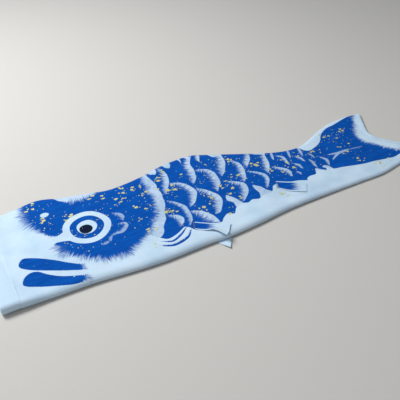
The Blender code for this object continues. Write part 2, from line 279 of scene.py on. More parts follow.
CRISP = 1.1
BLUE_COAT = [
    (11, [(-324, 160), (-324, 115), (-329, 80), (-326, 65)]),
    (8, [(-318, 47)]),
    (4, [(-306, 27), (-297, 18)]),
    (2, [(-289, 17), (-281, 21), (-262, 24), (-262, -2), (-271, -6), (-281, -2), (-291, 1), (-300, 1)]),
    (12, [(-302, -9), (-300, -26)]),
    (9, [(-289, -36), (-274, -51), (-260, -61), (-246, -71), (-231, -72), (-213, -78), (-200, -71),
         (-190, -68)]),
    (7, [(-181, -61), (-169, -54)]),
    (CRISP, [(-163, -60), (-157, -66), (-147, -76), (-133, -74), (-121, -69), (-111, -64), (-104, -70),
             (-98, -80)]),
    (CRISP, [(-80, -88), (-62, -84), (-53, -83), (-47, -77), (-34, -70), (-26, -76), (-20, -71), (-14, -64)]),
    (CRISP, [(0, -59), (11, -63), (20, -60), (29, -64), (34, -64), (45, -60), (60, -60), (67, -54),
             (74, -46)]),
    (CRISP, [(90, -46), (104, -52), (120, -57), (134, -64), (137, -60), (146, -56), (160, -56), (166, -49)]),
    (CRISP, [(179, -51), (184, -56), (189, -51), (196, -56), (200, -60), (220, -64), (240, -70), (261, -76)]),
    (CRISP, [(280, -78), (299, -81), (313, -84), (322, -86), (340, -84), (362, -83), (382, -80)]),
    (7, [(372, -79), (356, -75), (344, -71), (340, -63), (331, -51), (327, -41), (321, -31), (313, -21)]),
    (7, [(311, -11), (311, 0), (314, 9), (320, 17), (330, 30), (340, 40), (347, 51), (354, 61), (364, 71)]),
    (CRISP, [(358, 74), (340, 71), (327, 68), (299, 61), (280, 58), (261, 49), (250, 40), (241, 30),
             (230, 21)]),
    (CRISP, [(213, 14), (200, 11), (191, 16), (188, 24), (187, 42), (187, 160)]),
]
UPPER_LIP = [
    (1.5, [(-361, -18), (-353, -9), (-343, -11), (-330, -19), (-311, -34), (-300, -45), (-288, -56)]),
    (6, [(-279, -63), (-281, -72)]),
    (1.5, [(-288, -71), (-300, -64), (-324, -51), (-340, -42), (-353, -34), (-361, -26)]),
]
LOWER_LIP = [
    (1.5, [(-367, -60), (-361, -48), (-350, -42), (-340, -45), (-331, -55), (-317, -66), (-300, -76),
           (-290, -81)]),
    (7, [(-281, -86), (-284, -92)]),
    (1.5, [(-296, -93), (-311, -90), (-330, -82), (-350, -73), (-362, -67)]),
]
BLUE_SHAPES = [BLUE_COAT, UPPER_LIP, LOWER_LIP]

# Loose blue strokes low on the cheek: width, strength and the line of the brush
BLUE_STROKES = [
    (4.2, 1.0, [(-104, -74), (-118, -90), (-145, -95), (-168, -82)]),
    (3.4, 0.9, [(-108, -66), (-124, -79), (-143, -86), (-160, -76)]),
]

# The eye's rings are round and share a centre; the pupil looks down and forwards
EYE_PLACE = (-244, 14)
EYE_WHITE = (EYE_PLACE, (38, 38))
EYE_BLUE = (EYE_PLACE, (27, 27))
EYE_INNER = (EYE_PLACE, (16, 16))
PUPIL = ((-247, 10), (10.5, 10.5))
NOSTRIL = ((-293, 75), (7, 5.5))

WHITE_PATCHES = [
    [(2, [(-264, 130), (-264, 106), (-256, 95)]), (7, [(-246, 88), (-231, 85), (-212, 87)]),
          (4, [(-199, 93), (-197, 130)])],
    [
        (CRISP, [(-104, 130), (-103, 90), (-100, 60), (-103, 49), (-103, 34), (-107, 19), (-111, 3),
                 (-119, -11)]),
        (CRISP, [(-124, -23), (-127, -31), (-139, -46), (-143, -56), (-150, -64), (-160, -71), (-163, -90)]),
        (7, [(-196, -90), (-196, -72), (-180, -61), (-169, -54), (-156, -40), (-146, -27), (-134, -16),
             (-129, 0)]),
        (6, [(-124, 14), (-119, 31), (-121, 47), (-116, 60), (-117, 76), (-113, 88), (-110, 94)]),
        (3, [(-108, 98), (-106, 101)]),
    ],
    [(CRISP, [(-81, 130), (-81, 99), (-87, 87), (-92, 89), (-97, 94), (-97, 130)])],
    [(CRISP, [(-50, 130), (-50, 104), (-56, 93), (-62, 96), (-64, 101), (-64, 130)])],
    [(CRISP, [(-26, 130), (-28, 104), (-35, 86), (-31, 100), (-33, 130)])],
    [(CRISP, [(-12, 130), (-9, 104), (-15, 92), (-17, 104), (-22, 130)])],
    [(CRISP, [(48, 130), (47, 82), (38, 80), (26, 88), (24, 130)])],
    [(CRISP, [(122, 90), (120, 44), (108, 47), (98, 56), (96, 90)])],
    [(1.5, [(-11, -27), (-6, -34), (-3, -40), (0, -50), (2, -62), (-12, -72), (-13, -64), (-11, -50),
            (-17, -40)])],
    [(1.5, [(43, -27), (50, -35), (53, -39), (56, -50), (62, -62), (36, -66), (37, -60), (41, -51),
            (40, -40)])],
    [(1.5, [(170, -42), (176, -47), (178, -56), (164, -58), (165, -50)])],
    [(1.5, [(190, -41), (197, -47), (198, -62), (188, -62), (189, -52), (185, -45)])],
]

# Brushed crescents: width, strength, and the crisp rear edge from the back downwards
CRESCENTS = [
    (8, 1.0, [(-73, 99), (-69, 83), (-71, 71), (-77, 54), (-86, 41), (-96, 26)]),
    (9, 1.0, [(-4, 106), (-13, 94), (-20, 80), (-21, 66), (-26, 51), (-31, 40), (-42, 28)]),
    (6, 0.95, [(12, 106), (8, 96), (0, 82)]),
    (9, 1.0, [(-74, 50), (-61, 43), (-53, 31), (-49, 17), (-50, 4), (-59, -10), (-67, -19), (-77, -24)]),
    (6.5, 0.85, [(-102, 8), (-93, -1), (-84, -16), (-84, -27), (-86, -41), (-91, -54), (-100, -64)]),
    (9, 1.0, [(-114, -26), (-106, -31), (-101, -41), (-104, -50), (-112, -58)]),
    (10, 0.95, [(-13, 61), (-1, 54), (6, 40), (4, 23), (-1, 7), (-10, -3), (-16, -10)]),
    (10, 1.0, [(-42, 11), (-33, 1), (-24, -14), (-21, -24), (-24, -37), (-33, -50), (-43, -61), (-52, -62)]),
    (11, 1.0, [(-77, -36), (-67, -44), (-60, -56), (-56, -69), (-56, -86)]),
    (10, 1.0, [(47, 90), (44, 70), (40, 57), (33, 46), (24, 33), (14, 24)]),
    (8, 0.95, [(55, 54), (61, 41), (59, 24), (53, 10), (46, -3), (37, -12)]),
    (9, 1.0, [(17, 2), (33, -13), (34, -23), (29, -36), (20, -46), (7, -56)]),
    (8, 0.95, [(93, 60), (86, 44), (79, 36), (67, 24)]),
    (6, 0.95, [(61, 12), (71, 4), (80, -7), (82, -16), (79, -27), (71, -37), (62, -46)]),
    (8, 1.0, [(118, 48), (114, 30), (109, 16), (101, 3), (89, -11)]),
    (4, 0.85, [(134, 44), (129, 30), (123, 19)]),
    (7, 0.95, [(109, 1), (121, -10), (127, -19), (126, -29), (120, -41)]),
    (5, 0.85, [(134, 29), (143, 21), (144, 13), (141, 0), (138, -9)]),
    (3.6, 0.75, [(165, 36), (161, 23), (153, 8)]),
    (4.4, 0.8, [(163, 9), (170, -1), (169, -15)]),
    (4.6, 0.75, [(188, 36), (186, 21), (177, 2)]),
    (4.4, 0.8, [(147, -8), (154, -17), (152, -31)]),
    (3.6, 0.6, [(190, 6), (194, -4), (192, -15)]),
    (4.6, 0.7, [(179, -12), (182, -23), (176, -42)]),
    (5, 0.75, [(203, -14), (210, -26), (209, -34), (201, -46)]),
    (3.6, 0.7, [(136, -30), (140, -38), (137, -45)]),
    (6.5, 0.6, [(-193, 26), (-184, 19), (-182, 9), (-188, 0)]),
    (5.5, 0.65, [(-197, -2), (-186, -5), (-186, -15), (-199, -26), (-210, -25), (-219, -26)]),
    (4, 0.55, [(-217, -25), (-220, -31), (-224, -37)]),
    (5, 0.5, [(-226, -34), (-231, -39), (-239, -38)]),
    (4, 0.75, [(219, -16), (234, -19), (250, -22), (268, -24)]),
    (4, 0.75, [(268, -25), (253, -25), (241, -27), (231, -30), (217, -36)]),
    (3, 0.35, [(262, -23), (281, -24), (299, -27)]),
]

# Where the gold leaf was scattered: the middle of each patch, its spread and its number of large flakes
GOLD_PATCHES = [
    (-305, 100, 10, 4), (-300, 66, 5, 3), (-258, 50, 5, 3), (-205, 68, 12, 4), (-145, 66, 14, 11),
    (-78, 70, 18, 11), (-82, 26, 8, 3), (-114, -26, 10, 5), (-150, -8, 15, 4), (-52, -36, 15, 7),
    (-8, -16, 14, 6), (18, 6, 9, 5), (14, 72, 8, 3), (52, 58, 7, 3), (80, 22, 14, 5), (98, -14, 9, 3),
    (146, -2, 14, 5), (212, 0, 14, 4), (257, 26, 10, 5), (295, 38, 6, 3), (268, -42, 16, 4),
    (72, -70, 7, 3), (285, -88, 16, 4), (-170, -56, 12, 3),
]


def to_line(points, line):
    """For each point: how far it is from the line, how far along the line it is, and its side (1 is left)."""
    best = np.full(len(points), 1e9)
    along = np.zeros(len(points))
    side = np.ones(len(points))
    start = 0.0
    for a, b in zip(line[:-1, :2], line[1:, :2]):
        step = b - a
        length = math.hypot(*step)
        if length < 1e-6:
            continue
        from_a = points - a
        t = np.clip(from_a @ step / length**2, 0, 1)
        distance = np.hypot(from_a[:, 0] - t * step[0], from_a[:, 1] - t * step[1])
        closer = distance < best
        best[closer] = distance[closer]
        along[closer] = start + t[closer] * length
        side[closer] = np.sign(step[0] * from_a[:, 1] - step[1] * from_a[:, 0])[closer]
        start += length
    return best, along, side


def inside(points, line):
    """Whether each point is inside the closed line, by counting crossings."""
    found = np.zeros(len(points), bool)
    for a, b in zip(line[:-1], line[1:]):
        crosses = (a[1] > points[:, 1]) != (b[1] > points[:, 1])
        if not crosses.any():
            continue
        at = a[0] + (points[:, 1] - a[1]) / (b[1] - a[1]) * (b[0] - a[0])
        found ^= crosses & (points[:, 0] < at)
    return found


MARGIN = 22.0
FEATHER_SHARE = 0.62
# An ink's level is clipped this far from its edge
DEEPEST = 12.0
BARE = (-DEEPEST, 0.0, 1.0, 0.0)


def nearby(points, line):
    low, high = line[:, :2].min(0) - MARGIN, line[:, :2].max(0) + MARGIN
    return np.flatnonzero(((points > low) & (points < high)).all(1))


def region_ink(points, runs):
    """Ink of a filled shape: its level, how far round it is, the edge's softness and its strength.
    The level is the signed depth in units of that softness, so 0 is the edge."""
    knots = [(x, y, softness) for softness, run in runs for x, y in run]
    line = smooth_line(knots, 4, closed=True)
    ink = np.tile(BARE, (len(points), 1))
    near = nearby(points, line)
    distance, along, _ = to_line(points[near], line)
    depth = np.where(inside(points[near], line), distance, -distance)
    lengths = np.concatenate([[0], np.cumsum(np.hypot(*np.diff(line[:, :2], axis=0).T))])
    softness = np.maximum(np.interp(along, lengths, line[:, 2]), 0.8)
    level = np.clip(depth / softness, -DEEPEST, DEEPEST)
    ink[near] = np.stack([level, along, softness, np.ones(len(near))], 1)
    return ink


def ellipse_ink(points, ellipse, softness=CRISP):
    centre, half = ellipse
    offset = (points - np.array(centre)) / np.array(half)
    angle = np.arctan2(offset[:, 1], offset[:, 0])
    wobble = 0.012 * np.sin(3 * angle + 1) + 0.010 * np.sin(5 * angle + 2)
    depth = (1 + wobble - np.hypot(offset[:, 0], offset[:, 1])) * min(half)
    count = len(points)
    level = np.clip(depth / softness, -DEEPEST, DEEPEST)
    return np.stack([level, angle * min(half), np.full(count, softness), np.ones(count)], 1)


def crescent_ink(points, width, strength, edge):
    """Ink of a brushed crescent: crisp on its rear edge, feathered in front, and pointed at both ends."""
    line = smooth_line(edge, 5)
    ink = np.tile(BARE, (len(points), 1))
    near = nearby(points, line)
    distance, along, side = to_line(points[near], line)
    total = np.hypot(*np.diff(line, axis=0).T).sum()
    share = along / total
    body = 1.22 * width * np.clip(np.sin(math.pi * np.clip(share, 0, 1)), 0, 1) ** 0.6
    depth = -side * distance
    feather = FEATHER_SHARE * width + 0.4
    level = np.minimum(depth / CRISP, (body - depth) / feather)
    softness = np.where(depth / CRISP < (body - depth) / feather, CRISP, feather)
    level = np.clip(level, -DEEPEST, DEEPEST)
    ink[near] = np.stack([level, along, softness, np.full(len(near), strength)], 1)
    return ink


def joined(*inks):
    """The strongest ink at each point."""
    best = inks[0].copy()
    for ink in inks[1:]:
        better = ink[:, 0] > best[:, 0]
        best[better] = ink[better]
    return best


def spared(ink, hole):
    """The ink, kept out of the hole."""
    result = ink.copy()
    cut = -hole[:, 0] < ink[:, 0]
    result[cut, 0] = -hole[cut, 0]
    result[cut, 1:3] = hole[cut, 1:3]
    return result


def painted(x, y):
    """The blue and the white ink and the pupil's level at these places."""
    drift_x, drift_y = paint_drift(x)
    points = np.stack([x - drift_x, y - PAINT_BASE_Y - drift_y], -1).reshape(-1, 2)
    blue = joined(
        *(region_ink(points, shape) for shape in BLUE_SHAPES),
        *(crescent_ink(points, *stroke) for stroke in BLUE_STROKES),
    )
    blue = spared(blue, ellipse_ink(points, EYE_WHITE))
    blue = joined(blue, spared(ellipse_ink(points, EYE_BLUE), ellipse_ink(points, EYE_INNER)))
    blue = spared(blue, ellipse_ink(points, NOSTRIL, 1.6))
    whites = [region_ink(points, shape) for shape in WHITE_PATCHES]
    whites += [crescent_ink(points, *mark) for mark in CRESCENTS]
    return {"blue_ink": blue, "white_ink": joined(*whites), "pupil": ellipse_ink(points, PUPIL)[:, 0]}


def unpainted(count, blue=None):
    """Bare cotton, or cotton with this blue ink only."""
    bare = np.tile(BARE, (count, 1))
    return {"blue_ink": bare if blue is None else blue, "white_ink": bare, "pupil": np.full(count, -DEEPEST)}


# Meshes


def grid_faces(columns, rows):
    """The quads of a grid of points stored column by column."""
    column, row = np.meshgrid(np.arange(columns - 1), np.arange(rows - 1), indexing="ij")
    first = (column * rows + row).ravel()
    return np.stack([first, first + rows, first + rows + 1, first + 1], 1)


def grid_rim(columns, rows):
    """The grid's outer points in order, anticlockwise."""
    bottom = [column * rows for column in range(columns)]
    right = [(columns - 1) * rows + row for row in range(1, rows)]
    top = [column * rows + rows - 1 for column in range(columns - 2, -1, -1)]
    left = list(range(rows - 2, 0, -1))
    return np.array(bottom + right + top + left)


def grid_normals(grid):
    normals = np.cross(np.gradient(grid, axis=0), np.gradient(grid, axis=1))
    return normals / np.maximum(np.linalg.norm(normals, axis=2, keepdims=True), 1e-12)


def add_mesh(name, points, faces, material, sharp=50):
    """A mesh object from points in millimetres. Its material reads each point's place at rest."""
    mesh = bpy.data.meshes.new(name)
    points = np.asarray(points, float)
    mesh.from_pydata((points * MM).tolist(), [], [list(map(int, face)) for face in faces])
    rest = mesh.attributes.new("rest", "FLOAT_VECTOR", "POINT")
    rest.data.foreach_set("vector", points.astype(np.float32).ravel())
    mesh.shade_smooth()
    mesh.set_sharp_from_angle(angle=math.radians(sharp))
    mesh.materials.append(material)
    obj = bpy.data.objects.new(name, mesh)
    bpy.context.scene.collection.objects.link(obj)
    return obj


def give_ink(mesh, inks, copies=1):
    """Stores the inks on the mesh's points; with two copies the second is the cloth's other face."""
    for name, values in inks.items():
        values = np.concatenate([values] * copies).astype(np.float32)
        if values.ndim == 1:
            mesh.attributes.new(name, "FLOAT", "POINT").data.foreach_set("value", values)
        else:
            mesh.attributes.new(name, "FLOAT_COLOR", "POINT").data.foreach_set("color", values.ravel())
    count = len(mesh.vertices)
    outer = np.ones(count, np.float32)
    if copies == 2:
        outer[count // 2 :] = 0
    mesh.attributes.new("outer", "FLOAT", "POINT").data.foreach_set("value", outer)


def add_cloth(name, grid, material, inks, thickness=CLOTH, facing=1):
    """A sheet of cloth from a grid of its outer face: an outer face, an inner face and a rim all round.
    The grid faces +Z when facing is 1."""
    columns, rows = grid.shape[:2]
    inner = grid - facing * grid_normals(grid) * thickness
    outer_faces = grid_faces(columns, rows)
    count = columns * rows
    rim = grid_rim(columns, rows)
    after = np.roll(rim, -1)
    walls = np.stack([after, rim, rim + count, after + count], 1)
    faces = np.vstack([outer_faces, outer_faces[:, ::-1] + count, walls])
    if facing < 0:
        faces = faces[:, ::-1]
    obj = add_mesh(name, np.vstack([grid.reshape(-1, 3), inner.reshape(-1, 3)]), faces, material)
    give_ink(obj.data, inks, copies=2)
    return obj


def plan_grid(start_x, end_x, columns, middle_rows, near):
    """A panel's places in plan. The first and the last rows follow the rounds of the two folds."""
    share = np.linspace(0, 1, columns)[:, None]
    x = start_x + (end_x - start_x) * share
    last = end_x >= TAIL_X
    back_x = x if not last else start_x + (BACK_EDGE[-1][0] - start_x) * share
    low, high = belly_y(x), back_y(back_x)
    shrink = 1 if near else 0.6 + 0.4 * mouth_share(x)
    belly_width = fold_shape(x, "belly")[1] * shrink
    back_width = fold_shape(x, "back")[1] * shrink
    turn = 1 - np.cos(np.linspace(0, math.pi / 2, FOLD_ROWS))[None, :]
    middle = np.linspace(0, 1, middle_rows + 2)[None, 1:-1]
    first = low + belly_width
    final = high - back_width
    belly_rows = low + belly_width * turn
    back_rows = (high - back_width * turn)[:, ::-1]
    y = np.hstack([belly_rows, first + (final - first) * middle, back_rows])
    across = (y - low) / (high - low)
    x = x + (back_x - x) * across
    if last:
        square_edge = TAIL_X + (BACK_EDGE[-1][0] - TAIL_X) * across
        notch = np.interp(y, TAIL_LINE[:, 1], TAIL_LINE[:, 0]) - square_edge
        spread = np.clip((x - TAIL_SPREAD_X) / (square_edge - TAIL_SPREAD_X), 0, 1)
        x = x + notch * spread**2
    return x, y


SEAM_PARTING = 0.08


def make_panel(name, start_x, end_x, columns, middle_rows, near, material):
    x, y = plan_grid(start_x, end_x, columns, middle_rows, near)
    z = near_height(x, y) + SEAM_PARTING if near else far_height(x, y) - SEAM_PARTING
    return add_cloth(name, np.stack([x, y, z], -1), material, painted(x, y), facing=1 if near else -1)


def bend_with(piece):
    """Bakes the piece's placement into its mesh."""
    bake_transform(piece)


def make_panels(material):
    detail = {"near": (246, 120), "far": (200, 96)}
    spans = {"front": (CLOTH_START_X, JOIN_X), "rear": (JOIN_X, TAIL_X)}
    for side, (columns, rows) in detail.items():
        for half, (start, end) in spans.items():
            panel = make_panel(f"{side}_cloth_{half}", start, end, columns, rows, side == "near", material)
            bend_with(panel)
            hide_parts(*(f"{side}_panel_{section}" for section in SECTIONS[half]))


# Materials


class Nodes:
    """A material's nodes: each method adds one node and returns its output."""

    def __init__(self, name):
        self.material = bpy.data.materials.new(name)
        self.material.use_nodes = True
        self.tree = self.material.node_tree
        self.shader = self.tree.nodes["Principled BSDF"]

    def put(self, socket, value):
        if isinstance(value, bpy.types.NodeSocket):
            self.tree.links.new(value, socket)
        else:
            socket.default_value = value

    def add(self, kind, values=(), output=0, **settings):
        node = self.tree.nodes.new(kind)
        for name, value in settings.items():
            setattr(node, name, value)
        for key, value in dict(values).items():
            self.put(node.inputs[key], value)
        return node.outputs[output]

    def math(self, operation, a, b=0.0, clamp=False):
        return self.add("ShaderNodeMath", {0: a, 1: b}, operation=operation, use_clamp=clamp)

    def times(self, a, b):
        return self.math("MULTIPLY", a, b)

    def eased(self, value, low, high):
        values = {"Value": value, "From Min": low, "From Max": high}
        return self.add("ShaderNodeMapRange", values, interpolation_type="SMOOTHSTEP")

    def scaled(self, value, low, high, to_low, to_high):
        values = {"Value": value, "From Min": low, "From Max": high, "To Min": to_low, "To Max": to_high}
        return self.add("ShaderNodeMapRange", values)

    def mix(self, share, a, b):
        return self.add("ShaderNodeMix", {0: share, 6: a, 7: b}, output=2, data_type="RGBA")

    def noise(self, vector, scale, detail=2.0, roughness=0.5):
        values = {"Vector": vector, "Scale": scale, "Detail": detail, "Roughness": roughness}
        return self.add("ShaderNodeTexNoise", values)

    def attribute(self, name, output="Vector"):
        return self.add("ShaderNodeAttribute", output=output, attribute_name=name)

    def place(self, x=0.0, y=0.0, z=0.0):
        return self.add("ShaderNodeCombineXYZ", {0: x, 1: y, 2: z})

    def split(self, vector):
        node = self.tree.nodes.new("ShaderNodeSeparateXYZ")
        self.put(node.inputs[0], vector)
        return node.outputs[0], node.outputs[1], node.outputs[2]

    def finish(self, colour, roughness, bump_height=None, bump_distance=0.0002, strength=0.5, **sockets):
        self.put(self.shader.inputs["Base Color"], colour)
        self.put(self.shader.inputs["Roughness"], roughness)
        for name, value in sockets.items():
            self.shader.inputs[name.replace("_", " ")].default_value = value
        if bump_height is not None:
            values = {"Strength": strength, "Distance": bump_distance, "Height": bump_height}
            self.put(self.shader.inputs["Normal"], self.add("ShaderNodeBump", values))
        return self.material


CLOTH_WHITE = (0.60, 0.745, 0.875, 1)
CLOTH_SHADE = (0.50, 0.66, 0.81, 1)
BLUE_DEEP = (0.0010, 0.062, 0.34, 1)
BLUE_MID = (0.0015, 0.092, 0.43, 1)
BLUE_LIGHT = (0.006, 0.165, 0.57, 1)
PUPIL_BLACK = (0.006, 0.013, 0.036, 1)
SPECK_COLOUR = (0.35, 0.56, 0.82, 1)
THREAD_PITCH = 0.42
MATT_CLOTH = {"Sheen_Weight": 0.008, "Sheen_Roughness": 0.6, "Specular_IOR_Level": 0.03}


def weave(nodes, place):
    """The height of a plain weave: threads along X pass over and under threads along Y."""
    x, y, _ = nodes.split(place)
    turns = math.pi / THREAD_PITCH
    across = nodes.math("SINE", nodes.times(x, turns))
    along = nodes.math("SINE", nodes.times(y, turns))
    checks = nodes.times(across, along)
    drawn_out = nodes.place(nodes.times(x, 0.35), nodes.times(y, 2.2))
    slubs = nodes.noise(drawn_out, 1.0, 3.0)
    return nodes.math("ADD", nodes.times(checks, 0.35), slubs)


def ink_share(nodes, name, swing, edge):
    """How much of the cloth an ink covers. Streaks cross its soft edges, and crisp ones waver a little."""
    level, along, softness = nodes.split(nodes.attribute(name, "Vector"))
    depth = nodes.times(level, softness)
    track = nodes.place(nodes.times(along, 0.38), nodes.times(depth, 0.035))
    streaks = nodes.math("SUBTRACT", nodes.eased(nodes.noise(track, 1.0, 4.0, 0.72), 0.33, 0.67), 0.5)
    reach = nodes.times(nodes.scaled(softness, 1.5, 5.0, 0.22, 1.0), swing)
    level = nodes.math("ADD", level, nodes.times(streaks, reach))
    edge = nodes.scaled(softness, 2.0, 8.0, edge, 0.85)
    share = nodes.math("DIVIDE", nodes.math("ADD", level, edge), nodes.times(edge, 2.0))
    return nodes.eased(share, 0.0, 1.0)


def painted_cotton(name):
    nodes = Nodes(name)
    place = nodes.attribute("rest")
    x, y, _ = nodes.split(place)
    cloth_tone = nodes.eased(nodes.noise(place, 0.022, 3.0), 0.35, 0.7)
    cloth = nodes.mix(cloth_tone, CLOTH_WHITE, CLOTH_SHADE)
    brush = nodes.place(nodes.times(x, 0.035), nodes.times(y, 0.16))
    pools = nodes.eased(nodes.noise(brush, 1.0, 4.0, 0.6), 0.26, 0.74)
    bristle_track = nodes.place(nodes.times(x, 0.10), nodes.times(y, 1.1))
    bristles = nodes.noise(bristle_track, 1.0, 4.0, 0.7)
    blue = nodes.mix(pools, BLUE_DEEP, BLUE_MID)
    blue = nodes.mix(nodes.scaled(nodes.eased(bristles, 0.52, 0.80), 0, 1, 0, 0.5), blue, BLUE_LIGHT)
    strength = nodes.attribute("white_ink", "Alpha")
    white_share = nodes.times(ink_share(nodes, "white_ink", 1.7, 0.40), strength)
    level, along, softness = nodes.split(nodes.attribute("white_ink", "Vector"))
    depth = nodes.times(level, nodes.times(softness, 0.08))
    hairs = nodes.place(nodes.times(along, 0.8), depth)
    dry = nodes.scaled(nodes.noise(hairs, 1.0, 3.0, 0.7), 0.36, 0.60, 0.60, 0.97)
    white_share = nodes.math("MULTIPLY", white_share, dry, clamp=True)
    spared = nodes.math("SUBTRACT", 1.0, white_share)
    blue_share = nodes.times(ink_share(nodes, "blue_ink", 1.35, 0.34), spared)
    colour = nodes.mix(blue_share, cloth, blue)
    colour = nodes.mix(nodes.eased(nodes.attribute("pupil", "Fac"), -0.5, 0.5), colour, PUPIL_BLACK)
    spot = nodes.tree.nodes.new("ShaderNodeTexVoronoi")
    nodes.put(spot.inputs["Vector"], place)
    spot.inputs["Scale"].default_value = 0.16
    size = nodes.split(spot.outputs["Color"])[0]
    reach = nodes.scaled(size, 0.45, 1.0, 0.0, 0.17)
    speck = nodes.math("LESS_THAN", spot.outputs["Distance"], reach)
    speck = nodes.times(speck, nodes.times(blue_share, nodes.eased(y, -45.0, 0.0)))
    colour = nodes.mix(speck, colour, SPECK_COLOUR)
    soaked = nodes.mix(nodes.times(blue_share, 0.45), cloth, BLUE_LIGHT)
    colour = nodes.mix(nodes.attribute("outer", "Fac"), soaked, colour)
    wet = nodes.times(blue_share, -0.12)
    roughness = nodes.math("ADD", nodes.scaled(bristles, 0.3, 0.7, 0.84, 0.94), wet)
    return nodes.finish(colour, roughness, weave(nodes, place), **MATT_CLOTH)


def plain_cotton(name, light, dark):
    nodes = Nodes(name)
    place = nodes.attribute("rest")
    colour = nodes.mix(nodes.eased(nodes.noise(place, 0.06, 4.0, 0.6), 0.35, 0.68), light, dark)
    return nodes.finish(colour, 0.9, weave(nodes, place), **MATT_CLOTH)


def thread(name, light, dark, attribute="rest"):
    """Twisted thread: fine slanting plies and a little fluff. Its colour holds painted shade, darker in the
    grooves between the plies, and random tone from the fluff.
    """
    nodes = Nodes(name)
    if attribute == "rest":
        place = nodes.attribute("rest")
    else:
        place = nodes.add("ShaderNodeTexCoord", output="Object")
        place = nodes.add("ShaderNodeVectorMath", {0: place, 1: (1 / MM,) * 3}, operation="MULTIPLY")
    x, y, z = nodes.split(place)
    slant = nodes.math("ADD", nodes.math("ADD", x, y), nodes.times(z, 1.4))
    plies = nodes.math("SINE", nodes.times(slant, 2 * math.pi / 0.7))
    tone = nodes.math("ADD", nodes.times(plies, 0.3), nodes.noise(place, 1.6, 3.0))
    # The colour follows the plies' ridges: painted shade in the grooves between them, plus random tone from
    # the noise.
    colour = nodes.mix(nodes.eased(tone, 0.1, 0.9), dark, light)
    return nodes.finish(colour, 0.78, tone, strength=0.7, Sheen_Weight=0.2)


def gold_leaf(name):
    nodes = Nodes(name)
    place = nodes.attribute("rest")
    crumple = nodes.noise(place, 0.9, 5.0, 0.7)
    colour = nodes.mix(nodes.eased(crumple, 0.35, 0.65), (0.50, 0.46, 0.11, 1), (0.88, 0.88, 0.42, 1))
    roughness = nodes.scaled(crumple, 0.3, 0.7, 0.30, 0.55)
    return nodes.finish(colour, roughness, crumple, 0.0003, 0.6, Metallic=0.30)


def brass(name):
    nodes = Nodes(name)
    place = nodes.add("ShaderNodeTexCoord", output="Object")
    dulled = nodes.noise(place, 260.0, 4.0, 0.6)
    colour = nodes.mix(nodes.eased(dulled, 0.4, 0.7), (0.78, 0.57, 0.25, 1), (0.47, 0.33, 0.15, 1))
    roughness = nodes.scaled(dulled, 0.3, 0.7, 0.20, 0.42)
    return nodes.finish(colour, roughness, nodes.noise(place, 900.0, 3.0), 0.0001, 0.25, Metallic=1.0)


def make_materials():
    return {
        "painted_cotton": painted_cotton("painted_cotton_cloth"),
        "seam_cotton": plain_cotton("seam_cotton_cloth", CLOTH_WHITE, CLOTH_SHADE),
        "dark_thread": thread("dark_thread", (0.10, 0.14, 0.24, 1), (0.02, 0.03, 0.07, 1)),
        "white_thread": thread("white_thread", (0.74, 0.80, 0.86, 1), (0.44, 0.52, 0.60, 1)),
        "rim_cord": thread("rim_cord_twist", (0.70, 0.68, 0.62, 1), (0.42, 0.40, 0.35, 1), "object"),
        "gold_leaf": gold_leaf("gold_leaf_flakes"),
        "eyelet_brass": brass("eyelet_brass_pressed"),
    }


# Fins, stitches, hems and leaf


def along_line(points, count):
    """Evenly spaced points on a smooth line through these."""
    line = smooth_line(points, 8)
    lengths = np.concatenate([[0], np.cumsum(np.linalg.norm(np.diff(line, axis=0), axis=1))])
    at = np.linspace(0, lengths[-1], count)
    return np.stack([np.interp(at, lengths, line[:, i]) for i in range(line.shape[1])], 1)


def coons(root, edges, columns, rows):
    """A patch between a fin's root, upper, trailing and lower edges. Columns run from the root backwards."""
    u = np.linspace(0, 1, columns)[:, None, None]
    v = np.linspace(0, 1, rows)[None, :, None]
    lower, upper = along_line(edges["lower"], columns), along_line(edges["upper"], columns)
    start, end = along_line(root[::-1], rows), along_line(edges["trailing"][::-1], rows)
    rails = lower[:, None] * (1 - v) + upper[:, None] * v
    ends = start[None] * (1 - u) + end[None] * u
    corners = (1 - u) * ((1 - v) * lower[0] + v * upper[0]) + u * ((1 - v) * lower[-1] + v * upper[-1])
    return rails + ends - corners


# How far the blue reaches from a fin's root, as a share of its length, and the bare margin along its edges
FIN_BLUE_REACH = {"pectoral": 0.50, "pelvic": 0.66}
FIN_BARE_EDGE = 0.10
FIN_FEATHER = 9.0
FIN_EDGE_SOFTNESS = 1.6
FINS = {
    "near_pectoral_fin": (PECTORAL_ROOT, PECTORAL_EDGES, "pectoral", True, (0.052, 0.058), 0.0012),
    "far_pectoral_fin": (PECTORAL_ROOT, PECTORAL_FAR_EDGES, "pectoral", False, (0.054, 0.074), 0.0017),
    "near_pelvic_fin": (PELVIC_ROOT, PELVIC_EDGES, "pelvic", True, (0.036, 0.056), 0.0012),
    "far_pelvic_fin": (PELVIC_ROOT, PELVIC_EDGES, "pelvic", False, (0.036, 0.056), 0.0012),
}


LIFT = {"pectoral": 3.4, "pelvic": 0.5}
FIN_COLUMNS = 44
FIN_ROWS = 30
FIN_REST = 0.95
FIN_FOLD_MARGIN = 9.0
FAR_TIP_RISE = 2.4


def fin_ink(plan, back, across, kind):
    """Blue brushed from the root backwards, with a bare margin along both edges of the fin."""
    length = np.hypot(*(plan[-1] - plan[0]).T)[None, :]
    width = np.hypot(*(plan[:, -1] - plan[:, 0]).T)[:, None]
    reach = FIN_BLUE_REACH[kind] * (1 - 0.2 * (2 * across - 1) ** 2)
    towards_tip = (reach - back) * length / FIN_FEATHER
    towards_edge = (np.minimum(across, 1 - across) - FIN_BARE_EDGE) * width / FIN_EDGE_SOFTNESS
    feathered = towards_tip < towards_edge
    level = np.clip(np.minimum(towards_tip, towards_edge), -DEEPEST, DEEPEST)
    along = np.where(feathered, across * width, back * length)
    softness = np.where(feathered, FIN_FEATHER, FIN_EDGE_SOFTNESS)
    return np.stack([level, along, softness, np.ones_like(level)], -1).reshape(-1, 4)


